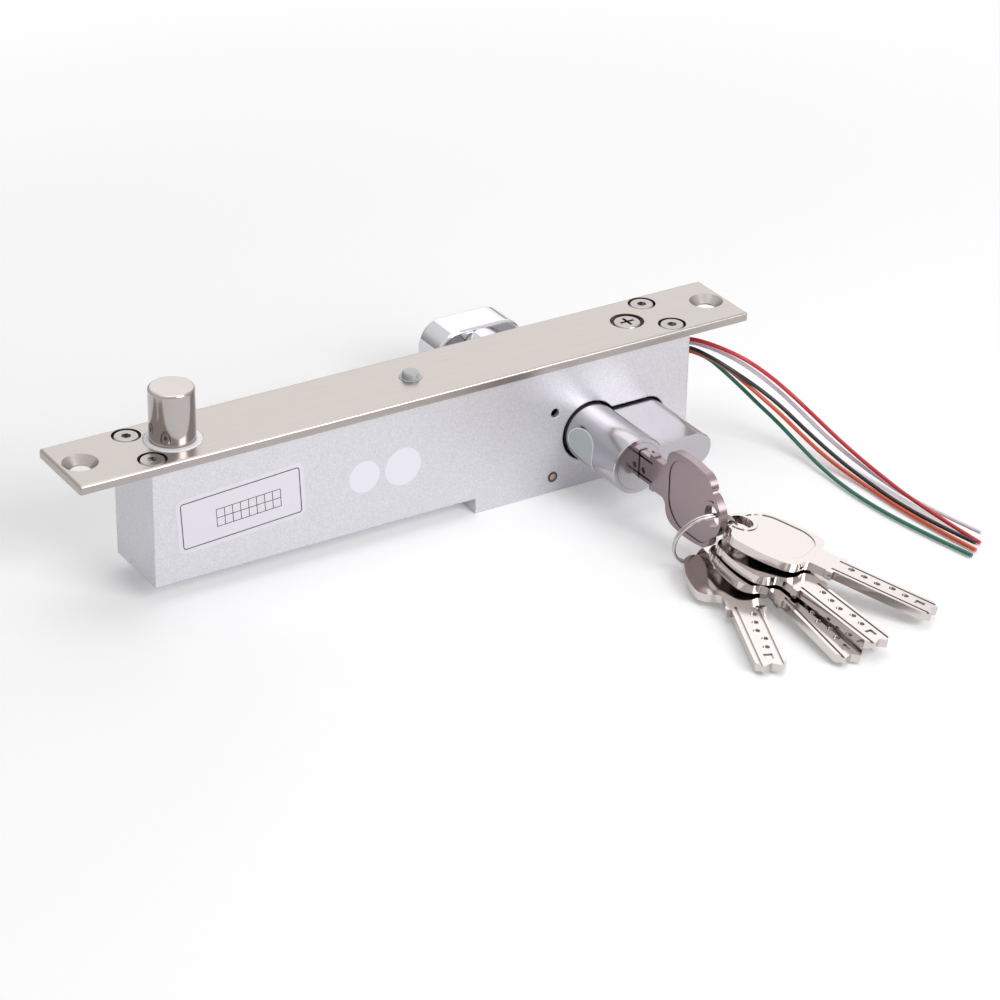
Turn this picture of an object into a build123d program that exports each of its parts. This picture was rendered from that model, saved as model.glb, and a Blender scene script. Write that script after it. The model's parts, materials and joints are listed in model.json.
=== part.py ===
from build123d import *
import os
from math import atan, atan2, cos, degrees, pi, radians, sin, sqrt, tan

# An electric drop bolt lock: a narrow mortise case under a long face plate, a round bolt that a
# solenoid draws down through a bell crank, and a euro profile cylinder whose key moves a release bar.
# Millimetres. X runs along the face plate, the bolt at -X. The cylinder's front is -Y. +Z is up.
# The origin lies under the case's deep foot, straight below the cylinder's axis.

# Face plate
PLATE_LEFT = -158.7
PLATE_RIGHT = 52.6
PLATE_WIDTH = 25.0
PLATE_THICK = 2.5
PLATE_TOP = 41.5
PLATE_EDGE = 0.8
PLATE_UNDER = PLATE_TOP - PLATE_THICK

# Mounting holes at the plate's two ends
MOUNT_INSET = 6.0
MOUNT_HOLE_R = 2.75
MOUNT_SINK_R = 4.9

# Case
CASE_LEFT = -137.6
CASE_RIGHT = 33.2
CASE_STEP = -37.8
CASE_DEPTH_SHALLOW = 34.3
CASE_HALF = 11.4
CASE_WALL = 1.5
FOOT = 0.0
SHALLOW = PLATE_UNDER - CASE_DEPTH_SHALLOW
INNER_FRONT = -CASE_HALF + CASE_WALL
INNER_BACK = CASE_HALF - CASE_WALL

# Plate screws, which go into bosses at the case's top corners
SCREW_INSET = 23.2
SCREW_SIDE = 7.75
SCREW_R = 1.5
SCREW_HEAD_R = 3.5
SCREW_HEAD = 1.5
SCREW_LENGTH = 11.0
SCREW_HOLE_R = 4.05
SCREW_HOLE_DEPTH = 1.6
SCREW_SOCKET = 2.5
BOSS_R = 3.0
BOSS_LENGTH = 13.0
THREAD_PLAY = 0.04

# Fixing screw of the cylinder
FIX_X = 19.2
FIX_R = 2.5
FIX_HEAD_R = 4.0
FIX_HOLE_R = 4.95
FIX_LENGTH = 29.0

# Euro profile cylinder
AXIS_Z = 16.6
BARREL_R = 8.5
LEG_HALF = 5.0
LEG_REACH = 24.5
CYLINDER_HALF = 36.4
CUT_OUT_PLAY = 0.7
PLUG_HEAD_R = 7.1
PLUG_HEAD = 2.4
PLUG_R = 6.42
PLUG_PLAY = 0.06
PLUG_BACK = -3.6
CLIP_Y = -4.85
CAM_SLOT_HALF = 5.0
CAM_SLOT_REACH = 15.5
SPINDLE_R = 4.9
SPINDLE_NECK_R = 3.4
CAM_R = 8.2
CAM_LEVER_R = 13.0
CAM_LEVER_HALF = 2.6
CAM_BACK = 4.7
CAM_FRONT = -3.3
CAM_REST = 45.0

# Thumb knob
KNOB_LENGTH = 30.0
KNOB_HEIGHT = 16.0
KNOB_NEAR = 47.5
KNOB_THICK = 12.0
KNOB_NECK_R = 7.4
KNOB_GAP = 0.3
KNOB_EDGE = 1.2
GRUB_R = 1.7
GRUB_LENGTH = 5.0
GRUB_Y = KNOB_NEAR + 3.2

# Bolt with its bush
BOLT_X = -125.6
BOLT_R = 6.35
BOLT_THROW = 15.6
BOLT_TOP = PLATE_TOP + BOLT_THROW
BOLT_FOOT = 22.3
BOLT_CHAMFER = 0.8
BOLT_SLOT = 3.0
BOLT_SLOT_TOP = 33.4
BOLT_PLAY = 0.05
BUSH_R = 8.0
BUSH_FLANGE_R = 8.8
BUSH_FLANGE = 1.5
BUSH_BELOW = 5.6
BUSH_PROUD = 0.3

# Bell crank and its pins
CRANK_REACH = 20.0
CRANK_ARM = 10.0
CRANK_FOOT_ARM = 8.0
CRANK_THICK = 2.2
CRANK_EYE = 1.1
CRANK_SLOT_PLAY = 0.28
CRANK_HUB_R = 3.4
CRANK_PIN_R = 1.8
BOLT_PIN_R = 1.5
LINK_PIN_R = 1.2
PIN_ABOVE_FOOT = 3.7
PIVOT_X = BOLT_X + CRANK_REACH
BOLT_PIN_Z = BOLT_FOOT + PIN_ABOVE_FOOT
PIVOT_Z = BOLT_PIN_Z - BOLT_THROW / 2
SWING = degrees(atan(BOLT_THROW / 2 / CRANK_REACH))
DRIVE_HALF = CRANK_ARM * tan(radians(SWING))
ROD_Z = PIVOT_Z + CRANK_ARM
RELEASE_HALF = CRANK_FOOT_ARM * tan(radians(SWING))
BAR_Z = PIVOT_Z - CRANK_FOOT_ARM

# Return spring, which lifts the bolt at its lug
LUG_R = 1.25
LUG_Z = 31.3
LUG_SIDE = 0.0
SPRING_X = -134.05
SPRING_R = 1.3
SPRING_WIRE_R = 0.3
SPRING_TURNS = 8
SPRING_SEAT = 0.05

# Solenoid
SOLENOID_LEFT = -98.0
SOLENOID_RIGHT = -70.0
SOLENOID_WALL = 1.6
SOLENOID_HALF = 8.0
SOLENOID_TOP = 36.4
SOLENOID_FLOOR = 18.4
COIL_R = 8.0
COIL_BORE_R = 4.3
PLUNGER_R = 4.0
PLUNGER_END = -55.2
ROD_R = 2.5
CLIP_R = 5.6
CLIP_THICK = 1.0
CLIP_GROOVE = 0.6
CLIP_X = SOLENOID_RIGHT + 2 * DRIVE_HALF + 0.6

# Release bar
BAR_THICK = 1.5
BAR_HEIGHT = 3.0
BAR_Y = 1.5
BAR_FOOT_Z = 1.9
BAR_FOOT_HEIGHT = 1.2
BAR_END = 5.5
BAR_STEP = -32.0

# Electronics
BOARD_LEFT = -54.6
BOARD_RIGHT = -16.0
BOARD_HALF = CASE_HALF - CASE_WALL - 1.3
BOARD_BOTTOM = 31.0
BOARD_THICK = 1.6
LAMP_X = -52.4
LAMP_R = 3.2
LAMP_CAP_R = 2.45
LAMP_PROUD = 2.0
LAMP_FLANGE_R = 4.4

# Wires and their grommet
WIRE_R = 0.6
GROMMET_Z = 30.0
GROMMET_R = 3.4
GROMMET_PROUD = 1.0
EXIT_X = CASE_RIGHT + GROMMET_PROUD

# Key
KEY_THICK = 2.4
BOW_BACK = -4.2
BOW_HALF = 12.1
BOW_END = 21.9
NECK_HALF = 5.0
NECK_END = 28.0
TAB = 0.5
BLADE_HALF = 4.2
BLADE_TIP = 58.5
KEY_HOLE_R = 3.3
KEY_X = 1.2
KEY_Z = 17.3
KEY_HOLE_Y = -71.6
KEYWAY_PLAY = 0.15

# Key ring
RING_R = 9.2
RING_WIRE_R = 0.42
RING_CENTRE = (-0.7, -70.3, 9.85)
RING_AZIMUTH = 78.4
RING_ELEVATION = 17.7

# Where each spare key hangs: angle round the ring from its top, yaw, slope of the blade, roll, and
# how far the ring's wire lies off the middle of its hole, along the blade and across
SPARE_KEYS = {
    "spare_key_1": (137.0, -21.7, 1.2, 0.0, 1.2, -0.8),
    "spare_key_2": (106.3, -4.2, 5.15, -7.0, 1.8, 0.3),
    "spare_key_3": (89.9, 3.7, 5.15, -7.0, 1.8, 0.3),
    "spare_key_4": (63.0, 29.0, 10.4, -7.0, 1.3, 0.45),
}


def tube_along_y(radius, front, back, x, z):
    """A round bar along Y from front to back."""
    return Solid.make_cylinder(radius, back - front, Plane((x, front, z), z_dir=(0, 1, 0)))


def upright(radius, bottom, top, x=0.0, y=0.0):
    """A round bar along Z."""
    return Solid.make_cylinder(radius, top - bottom, Plane((x, y, bottom)))


def along_x(radius, left, right, y, z):
    """A round bar along X."""
    return Solid.make_cylinder(radius, right - left, Plane((left, y, z), z_dir=(1, 0, 0)))


def block(x0, x1, y0, y1, z0, z1):
    """A block between two corners."""
    return Pos((x0 + x1) / 2, (y0 + y1) / 2, (z0 + z1) / 2) * Box(x1 - x0, y1 - y0, z1 - z0)


def slab(sketch, front, back):
    """Extrudes a sketch drawn in X and Z from front to back along Y."""
    return extrude(Plane((0, front, 0), x_dir=(1, 0, 0), z_dir=(0, -1, 0)) * sketch, -(back - front))


def turned(points, x=0.0, y=0.0):
    """A turned piece on an upright axis, from its half section of radius and height."""
    half = make_face(Plane.XZ * Polyline(*points, close=True))
    return Pos(x, y, 0) * revolve(half, Axis.Z)


def link(a, b, radius):
    """A flat bar with round ends, from a to b."""
    turn = degrees(atan2(b[1] - a[1], b[0] - a[0]))
    length = sqrt((b[0] - a[0]) ** 2 + (b[1] - a[1]) ** 2)
    middle = Pos((a[0] + b[0]) / 2, (a[1] + b[1]) / 2) * Rot(0, 0, turn) * Rectangle(length, 2 * radius)
    return middle + Pos(*a) * Circle(radius) + Pos(*b) * Circle(radius)


# Places that several pieces share
SCREW_PLACES = [
    (x, y)
    for x in (PLATE_LEFT + SCREW_INSET, PLATE_RIGHT - SCREW_INSET)
    for y in (-SCREW_SIDE, SCREW_SIDE)
]
MOUNT_PLACES = (PLATE_LEFT + MOUNT_INSET, PLATE_RIGHT - MOUNT_INSET)
SCREW_SEAT = PLATE_TOP - SCREW_HOLE_DEPTH
POSTS = [(-113.6, 35.2), (-62.0, 15.2), (-30.0, 20.0), (27.4, 6.2)]
POST_R = 2.2
COVER_SCREW_R = 1.2
COVER_HEAD_R = 2.1
DRILL = (-11.9, 25.0)
DRILL_R = 1.4
RIVET = (-12.2, 4.8)
RIVET_R = 1.5


def face_plate():
    outline = Pos((PLATE_LEFT + PLATE_RIGHT) / 2, 0) * RectangleRounded(
        PLATE_RIGHT - PLATE_LEFT, PLATE_WIDTH, 0.6
    )
    plate = Pos(0, 0, PLATE_UNDER) * extrude(outline, PLATE_THICK)
    plate = fillet(plate.faces().sort_by(Axis.Z)[-1].edges(), PLATE_EDGE)
    for x in MOUNT_PLACES:
        plate -= upright(MOUNT_HOLE_R, PLATE_UNDER - 1, PLATE_TOP + 1, x)
        sink = MOUNT_SINK_R - MOUNT_HOLE_R
        plate -= turned(
            [(0, PLATE_TOP + 0.1), (MOUNT_SINK_R + 0.1, PLATE_TOP + 0.1), (MOUNT_HOLE_R, PLATE_TOP - sink),
             (0, PLATE_TOP - sink)], x,
        )
    for x, y in SCREW_PLACES:
        plate -= upright(SCREW_R + 0.2, PLATE_UNDER - 1, PLATE_TOP, x, y)
        plate -= upright(SCREW_HOLE_R, SCREW_SEAT, PLATE_TOP + 1, x, y)
    plate -= upright(FIX_R + 0.2, PLATE_UNDER - 1, PLATE_TOP, FIX_X)
    plate -= upright(FIX_HOLE_R, SCREW_SEAT, PLATE_TOP + 1, FIX_X)
    plate -= upright(LAMP_R + 0.05, PLATE_UNDER - 1, PLATE_TOP + 1, LAMP_X)
    plate -= upright(BUSH_R + 0.05, PLATE_UNDER - 1, PLATE_TOP + 1, BOLT_X)
    return plate


def case_outline(inset, top):
    """The case's side view, smaller all round by inset."""
    return make_face(
        Polyline(
            (CASE_LEFT + inset, top),
            (CASE_RIGHT - inset, top),
            (CASE_RIGHT - inset, FOOT + inset),
            (CASE_STEP + inset, FOOT + inset),
            (CASE_STEP + inset, SHALLOW + inset),
            (CASE_LEFT + inset, SHALLOW + inset),
            close=True,
        )
    )


def cylinder_profile(play):
    """The euro profile: a round barrel with a narrow round-ended leg."""
    leg = link((0, AXIS_Z), (LEG_REACH - LEG_HALF, AXIS_Z), LEG_HALF + play)
    return Pos(0, AXIS_Z) * Circle(BARREL_R + play) + leg


def case_body():
    shell = slab(case_outline(0, PLATE_UNDER), -CASE_HALF, INNER_BACK)
    case = shell - slab(case_outline(CASE_WALL, PLATE_UNDER + 1), INNER_FRONT, INNER_BACK + 1)
    for x, y in SCREW_PLACES:
        case += upright(BOSS_R, PLATE_UNDER - BOSS_LENGTH, PLATE_UNDER, x, y) & shell
    for x, z in POSTS:
        case += tube_along_y(POST_R, INNER_FRONT - 0.1, INNER_BACK, x, z)
    # ledges for the solenoid and the board
    case += block(SOLENOID_LEFT, SOLENOID_RIGHT, INNER_FRONT - 0.1, -2.0, 16.4, SOLENOID_FLOOR)
    case += block(BOARD_LEFT + 1, BOARD_RIGHT - 1, INNER_FRONT - 0.1, INNER_FRONT + 2, 29.5, BOARD_BOTTOM)
    for x, y in SCREW_PLACES:
        case -= upright(SCREW_R + THREAD_PLAY, PLATE_UNDER - SCREW_LENGTH - 1, PLATE_UNDER + 1, x, y)
    for x, z in POSTS:
        case -= tube_along_y(COVER_SCREW_R + THREAD_PLAY, INNER_BACK - 9, INNER_BACK + 1, x, z)
    case -= slab(cylinder_profile(CUT_OUT_PLAY), -CASE_HALF - 1, INNER_FRONT + 1)
    case -= tube_along_y(DRILL_R, -CASE_HALF - 1, INNER_FRONT + 1, *DRILL)
    case -= tube_along_y(RIVET_R + THREAD_PLAY, -CASE_HALF - 1, INNER_FRONT + 1, *RIVET)
    case -= along_x(GROMMET_R + THREAD_PLAY, CASE_RIGHT - 3, CASE_RIGHT + 1, 0, GROMMET_Z)
    return case


def rear_cover():
    cover = slab(case_outline(0, PLATE_UNDER), INNER_BACK, CASE_HALF)
    cover += block(BOARD_LEFT + 1, BOARD_RIGHT - 1, INNER_BACK - 2, INNER_BACK + 0.1, 29.5, BOARD_BOTTOM)
    cover -= slab(cylinder_profile(CUT_OUT_PLAY), INNER_BACK - 1, CASE_HALF + 1)
    for x, z in POSTS:
        cover -= tube_along_y(COVER_SCREW_R + 0.15, INNER_BACK - 1, CASE_HALF + 1, x, z)
        cover -= cover_screw_head(x, z, 0.03)
    return cover


def cover_screw_head(x, z, play):
    """The countersunk head of a cover screw, flush with the cover."""
    depth = COVER_HEAD_R - COVER_SCREW_R
    cone = turned([(0, -depth), (COVER_SCREW_R, -depth), (COVER_HEAD_R + play, 0), (0, 0)])
    return Pos(x, CASE_HALF, z) * Rot(-90, 0, 0) * cone


def cover_screws():
    screws = []
    for x, z in POSTS:
        screw = tube_along_y(COVER_SCREW_R, INNER_BACK - 8, CASE_HALF - 0.5, x, z) + cover_screw_head(x, z, 0)
        screw -= block(x - 1.5, x + 1.5, CASE_HALF - 0.5, CASE_HALF + 1, z - 0.25, z + 0.25)
        screws.append(screw)
    return screws


def socket_screw(x, y):
    """A plate screw with a thin socket head, its top a little under the plate's."""
    screw = upright(SCREW_R, PLATE_UNDER - SCREW_LENGTH, SCREW_SEAT, x, y)
    head = upright(SCREW_HEAD_R, SCREW_SEAT, SCREW_SEAT + SCREW_HEAD, x, y)
    screw += chamfer(head.faces().sort_by(Axis.Z)[-1].edges(), 0.3)
    hexagon = Pos(x, y, SCREW_SEAT + SCREW_HEAD - 1.0) * RegularPolygon(SCREW_SOCKET / sqrt(3), 6)
    return screw - extrude(hexagon, 2)


def plate_screws():
    return [socket_screw(x, y) for x, y in SCREW_PLACES]


def cylinder_fixing_screw():
    head = upright(FIX_HEAD_R, SCREW_SEAT, SCREW_SEAT + SCREW_HEAD, FIX_X)
    head = fillet(head.faces().sort_by(Axis.Z)[-1].edges(), 0.6)
    screw = head + upright(FIX_R, SCREW_SEAT - FIX_LENGTH, SCREW_SEAT, FIX_X)
    for turn in (0, 90):
        arm = Pos(0, 0, SCREW_SEAT + SCREW_HEAD) * Box(4.6, 0.9, 2.0)
        screw -= Pos(FIX_X, 0, 0) * Rot(0, 0, turn) * arm
    return screw


def case_rivet():
    rivet = tube_along_y(RIVET_R, -CASE_HALF - 0.15, INNER_FRONT + 2.5, *RIVET)
    ring = tube_along_y(RIVET_R - 0.5, -CASE_HALF - 1, -CASE_HALF + 0.2, *RIVET)
    return rivet - ring


def bolt():
    body = upright(BOLT_R, BOLT_FOOT, BOLT_TOP, BOLT_X)
    body = fillet(body.faces().sort_by(Axis.Z)[-1].edges(), BOLT_CHAMFER)
    body -= block(
        BOLT_X - 8, BOLT_X + 8, -BOLT_SLOT / 2, BOLT_SLOT / 2, BOLT_FOOT - 1, BOLT_SLOT_TOP
    )
    body -= tube_along_y(BOLT_PIN_R + THREAD_PLAY, -8, 8, BOLT_X, BOLT_PIN_Z)
    body -= along_x(LUG_R + THREAD_PLAY, BOLT_X - 8, BOLT_X - 2.8, LUG_SIDE, LUG_Z)
    return body


def bolt_cross_pin():
    return tube_along_y(BOLT_PIN_R, -5.9, 5.9, BOLT_X, BOLT_PIN_Z)


def bolt_lug():
    return along_x(LUG_R, SPRING_X - SPRING_R, BOLT_X - 3, LUG_SIDE, LUG_Z)


def bolt_bush():
    outer = BUSH_R
    bore = BOLT_R + BOLT_PLAY
    return turned(
        [
            (bore, PLATE_UNDER - BUSH_BELOW),
            (outer, PLATE_UNDER - BUSH_BELOW),
            (outer, PLATE_UNDER - BUSH_FLANGE),
            (BUSH_FLANGE_R, PLATE_UNDER - BUSH_FLANGE),
            (BUSH_FLANGE_R, PLATE_UNDER),
            (outer, PLATE_UNDER),
            (outer, PLATE_TOP),
            (outer - 0.3, PLATE_TOP + BUSH_PROUD),
            (bore, PLATE_TOP + BUSH_PROUD),
        ],
        BOLT_X,
    )


def return_spring():
    bottom = SHALLOW + CASE_WALL + SPRING_SEAT + SPRING_WIRE_R
    top = LUG_Z - LUG_R - SPRING_SEAT - SPRING_WIRE_R
    path = Helix((top - bottom) / SPRING_TURNS, top - bottom, SPRING_R)
    wire = Plane(path @ 0, z_dir=path % 0) * Circle(SPRING_WIRE_R)
    return Pos(SPRING_X, LUG_SIDE, bottom) * sweep(wire, path, is_frenet=True)


def crank_point(reach, direction):
    """A point on the crank at rest, for an arm that points along direction at half travel."""
    turn = radians(direction - SWING)
    return (PIVOT_X + reach * cos(turn), PIVOT_Z + reach * sin(turn))


def crank_arm(reach, direction, pin):
    """One arm with its slot: the arm's outline and the slot's."""
    far = reach / cos(radians(SWING))
    slot = link(crank_point(reach, direction), crank_point(far, direction), pin + CRANK_SLOT_PLAY)
    outline = link((PIVOT_X, PIVOT_Z), crank_point(far, direction), pin + CRANK_SLOT_PLAY + CRANK_EYE)
    return outline, slot


def bell_crank():
    plate = Pos(PIVOT_X, PIVOT_Z) * Circle(CRANK_HUB_R + 1.2)
    slots = []
    for reach, direction, pin in (
        (CRANK_REACH, 180, BOLT_PIN_R),
        (CRANK_ARM, 90, LINK_PIN_R),
        (CRANK_FOOT_ARM, 270, LINK_PIN_R),
    ):
        outline, slot = crank_arm(reach, direction, pin)
        plate += outline
        slots.append(slot)
    for slot in slots:
        plate -= slot
    crank = slab(plate, -CRANK_THICK / 2, CRANK_THICK / 2)
    crank += tube_along_y(CRANK_HUB_R, INNER_FRONT + 0.3, INNER_BACK - 0.3, PIVOT_X, PIVOT_Z)
    return crank - tube_along_y(CRANK_PIN_R + 0.05, INNER_FRONT, INNER_BACK, PIVOT_X, PIVOT_Z)


def crank_pin():
    return tube_along_y(CRANK_PIN_R, INNER_FRONT, INNER_BACK, PIVOT_X, PIVOT_Z)


def solenoid_frame():
    left = SOLENOID_LEFT
    right = SOLENOID_RIGHT
    floor = SOLENOID_FLOOR + SOLENOID_WALL
    bracket = make_face(
        Polyline(
            (left, SOLENOID_TOP),
            (left, SOLENOID_FLOOR),
            (right, SOLENOID_FLOOR),
            (right, SOLENOID_TOP),
            (right - SOLENOID_WALL, SOLENOID_TOP),
            (right - SOLENOID_WALL, floor),
            (left + SOLENOID_WALL, floor),
            (left + SOLENOID_WALL, SOLENOID_TOP),
            close=True,
        )
    )
    frame = slab(bracket, -SOLENOID_HALF, SOLENOID_HALF)
    frame -= along_x(ROD_R + 0.2, left - 1, left + 5, 0, ROD_Z)
    return frame - along_x(PLUNGER_R + 0.15, right - 5, right + 1, 0, ROD_Z)


def solenoid_coil():
    left = SOLENOID_LEFT + SOLENOID_WALL
    right = SOLENOID_RIGHT - SOLENOID_WALL
    coil = along_x(COIL_R, left, right, 0, ROD_Z)
    coil -= along_x(COIL_R, left + 1.2, right - 1.2, 0, ROD_Z) - along_x(
        COIL_R - 0.7, left + 1.2, right - 1.2, 0, ROD_Z
    )
    return coil - along_x(COIL_BORE_R, left - 1, right + 1, 0, ROD_Z)


def solenoid_plunger():
    pin_x = PIVOT_X + DRIVE_HALF
    plunger = along_x(ROD_R, pin_x - 3.0, SOLENOID_LEFT + 14, 0, ROD_Z)
    plunger += along_x(PLUNGER_R, SOLENOID_LEFT + 12, PLUNGER_END, 0, ROD_Z)
    gap = CRANK_THICK / 2 + 0.3
    plunger -= block(pin_x - 4, pin_x + 5.5, -gap, gap, ROD_Z - 5, ROD_Z + 5)
    plunger -= tube_along_y(LINK_PIN_R + THREAD_PLAY, -4, 4, pin_x, ROD_Z)
    groove = along_x(PLUNGER_R + 1, CLIP_X - 0.03, CLIP_X + CLIP_THICK + 0.03, 0, ROD_Z)
    groove -= along_x(PLUNGER_R - CLIP_GROOVE, CLIP_X - 1, CLIP_X + CLIP_THICK + 1, 0, ROD_Z)
    return plunger - groove


def plunger_clip():
    clip = along_x(CLIP_R, CLIP_X, CLIP_X + CLIP_THICK, 0, ROD_Z)
    clip -= along_x(PLUNGER_R - CLIP_GROOVE + 0.03, CLIP_X - 1, CLIP_X + CLIP_THICK + 1, 0, ROD_Z)
    return clip - block(CLIP_X - 1, CLIP_X + CLIP_THICK + 1, -2.6, 2.6, ROD_Z - 7, ROD_Z)


def link_pin():
    return tube_along_y(LINK_PIN_R, -2.1, 2.1, PIVOT_X + DRIVE_HALF, ROD_Z)


def release_bar():
    left = PIVOT_X - RELEASE_HALF - 2.6
    half = BAR_HEIGHT / 2
    high = BAR_Z - half
    line = Polyline(
        (left, high),
        (left, high + BAR_HEIGHT),
        (BAR_STEP + 3, high + BAR_HEIGHT),
        (BAR_STEP + 9, BAR_FOOT_Z + BAR_FOOT_HEIGHT),
        (BAR_END, BAR_FOOT_Z + BAR_FOOT_HEIGHT),
        (BAR_END, BAR_FOOT_Z),
        (BAR_STEP + 8, BAR_FOOT_Z),
        (BAR_STEP + 2, high),
        close=True,
    )
    bar = slab(make_face(line), BAR_Y, BAR_Y + BAR_THICK)
    return bar - tube_along_y(LINK_PIN_R + THREAD_PLAY, 0, 5, PIVOT_X - RELEASE_HALF, BAR_Z)


def release_pin():
    return tube_along_y(LINK_PIN_R, -2.0, BAR_Y + BAR_THICK + 0.6, PIVOT_X - RELEASE_HALF, BAR_Z)


def circuit_board():
    outline = Pos((BOARD_LEFT + BOARD_RIGHT) / 2, 0) * RectangleRounded(
        BOARD_RIGHT - BOARD_LEFT, 2 * BOARD_HALF, 1
    )
    return Pos(0, 0, BOARD_BOTTOM) * extrude(outline, BOARD_THICK)


def board_components():
    top = BOARD_BOTTOM + BOARD_THICK
    relay = block(-46, -34, -4.5, 2.5, top, top + 5.2)
    chip = block(-32, -27, -2, 2, top, top + 1.5)
    terminal = block(-24, -17.5, -8, 8, top, top + 4.5)
    for n in range(5):
        terminal -= block(-18.5, -17, -6.9 + 3 * n, -5.1 + 3 * n, top + 1, top + 3.4)
    capacitor = upright(2.2, top, top + 5, -30, 5.5)
    return [relay, chip, terminal, capacitor]


def led():
    top = BOARD_BOTTOM + BOARD_THICK
    return turned(
        [(0, top), (1.9, top), (1.9, top + 0.8), (1.5, top + 0.8), (1.5, top + 2.6), (0.9, top + 3.4),
         (0, top + 3.7)], LAMP_X,
    )


def led_lens():
    """A clear cap: a flange under the plate, a ring in its hole and a low dome that stands proud."""
    ring = upright(LAMP_R, PLATE_UNDER - 0.1, PLATE_TOP + 0.1, LAMP_X)
    flange = upright(LAMP_FLANGE_R, PLATE_UNDER - 1.4, PLATE_UNDER, LAMP_X)
    dome = upright(LAMP_CAP_R, PLATE_TOP, PLATE_TOP + LAMP_PROUD, LAMP_X)
    dome = fillet(dome.faces().sort_by(Axis.Z)[-1].edges(), 0.9)
    return flange + ring + dome


def door_sensor():
    return block(-9, 7, -6.5, -2.5, PLATE_UNDER - 3.2, PLATE_UNDER)


def cylinder_body():
    body = slab(cylinder_profile(0), -CYLINDER_HALF, CYLINDER_HALF)
    for end in (Axis.Y, -Axis.Y):
        body = chamfer(body.faces().sort_by(end)[-1].edges(), 0.3)
    body -= block(
        -BARREL_R - 1, CAM_SLOT_REACH, -CAM_SLOT_HALF, CAM_SLOT_HALF, AXIS_Z - 10, AXIS_Z + 10
    )
    body -= tube_along_y(PLUG_R + PLUG_PLAY, -CYLINDER_HALF - 1, 0, 0, AXIS_Z)
    body -= tube_along_y(
        PLUG_HEAD_R + PLUG_PLAY, -CYLINDER_HALF - 1, -CYLINDER_HALF + PLUG_HEAD, 0, AXIS_Z
    )
    body -= tube_along_y(SPINDLE_R + PLUG_PLAY, 0, CYLINDER_HALF + 1, 0, AXIS_Z)
    return body - upright(FIX_R + THREAD_PLAY, AXIS_Z - 9, AXIS_Z + 9, FIX_X)


def cylinder_plug():
    plug = tube_along_y(PLUG_R, -CYLINDER_HALF, PLUG_BACK, 0, AXIS_Z)
    plug += tube_along_y(
        PLUG_HEAD_R, -CYLINDER_HALF - 0.05, -CYLINDER_HALF + PLUG_HEAD - 0.1, 0, AXIS_Z
    )
    # the keyway, with a half-round scoop beside its mouth
    plug -= block(
        KEY_X - KEY_THICK / 2 - KEYWAY_PLAY,
        KEY_X + KEY_THICK / 2 + KEYWAY_PLAY,
        -CYLINDER_HALF - 1,
        KEY_HOLE_Y + BLADE_TIP + 1.5,
        KEY_Z - BLADE_HALF - KEYWAY_PLAY,
        KEY_Z + BLADE_HALF + KEYWAY_PLAY,
    )
    plug -= tube_along_y(1.7, -CYLINDER_HALF - 1, -CYLINDER_HALF + 0.8, KEY_X + 2.6, KEY_Z + 1.4)
    groove = tube_along_y(PLUG_R + 1, CLIP_Y, CLIP_Y + 0.9, 0, AXIS_Z)
    groove -= tube_along_y(PLUG_R - 0.7, CLIP_Y - 1, CLIP_Y + 2, 0, AXIS_Z)
    return plug - groove


def plug_clip():
    clip = tube_along_y(PLUG_R + 1.1, CLIP_Y + 0.03, CLIP_Y + 0.87, 0, AXIS_Z)
    clip -= tube_along_y(PLUG_R - 0.67, CLIP_Y - 1, CLIP_Y + 2, 0, AXIS_Z)
    return clip - block(-4, 4, CLIP_Y - 1, CLIP_Y + 2, AXIS_Z, AXIS_Z + 10)


def cam():
    turn = radians(CAM_REST)
    tip = CAM_LEVER_R - CAM_LEVER_HALF
    lever = link((0, AXIS_Z), (-tip * sin(turn), AXIS_Z - tip * cos(turn)), CAM_LEVER_HALF)
    outline = Pos(0, AXIS_Z) * Circle(CAM_R) + lever
    bore = Pos(0, AXIS_Z) * (Circle(SPINDLE_NECK_R + 0.04) & Rectangle(2 * SPINDLE_NECK_R + 1, 5.08))
    return slab(outline - bore, CAM_FRONT, CAM_BACK)


def knob_spindle():
    spindle = tube_along_y(SPINDLE_R, CAM_SLOT_HALF, KNOB_NEAR + 6, 0, AXIS_Z)
    neck = Pos(0, AXIS_Z) * (Circle(SPINDLE_NECK_R) & Rectangle(2 * SPINDLE_NECK_R + 1, 5.0))
    return spindle + slab(neck, CAM_FRONT, CAM_SLOT_HALF + 0.5)


def thumb_knob():
    half = KNOB_LENGTH / 2 - KNOB_HEIGHT / 2
    grip = slab(
        link((-half, AXIS_Z), (half, AXIS_Z), KNOB_HEIGHT / 2), KNOB_NEAR, KNOB_NEAR + KNOB_THICK
    )
    for end in (Axis.Y, -Axis.Y):
        grip = fillet(grip.faces().sort_by(end)[-1].edges(), KNOB_EDGE)
    knob = grip + tube_along_y(KNOB_NECK_R, CYLINDER_HALF + KNOB_GAP, KNOB_NEAR + 1, 0, AXIS_Z)
    knob -= tube_along_y(SPINDLE_R + THREAD_PLAY, CYLINDER_HALF, KNOB_NEAR + 6.05, 0, AXIS_Z)
    return knob - along_x(GRUB_R + THREAD_PLAY, -KNOB_LENGTH, -3, GRUB_Y, AXIS_Z)


def knob_set_screw():
    screw = along_x(GRUB_R, -SPINDLE_R - GRUB_LENGTH, -SPINDLE_R, GRUB_Y, AXIS_Z)
    hexagon = Plane((-SPINDLE_R - GRUB_LENGTH, GRUB_Y, AXIS_Z), z_dir=(1, 0, 0)) * RegularPolygon(1, 6)
    return screw - extrude(hexagon, 1.6)


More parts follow.
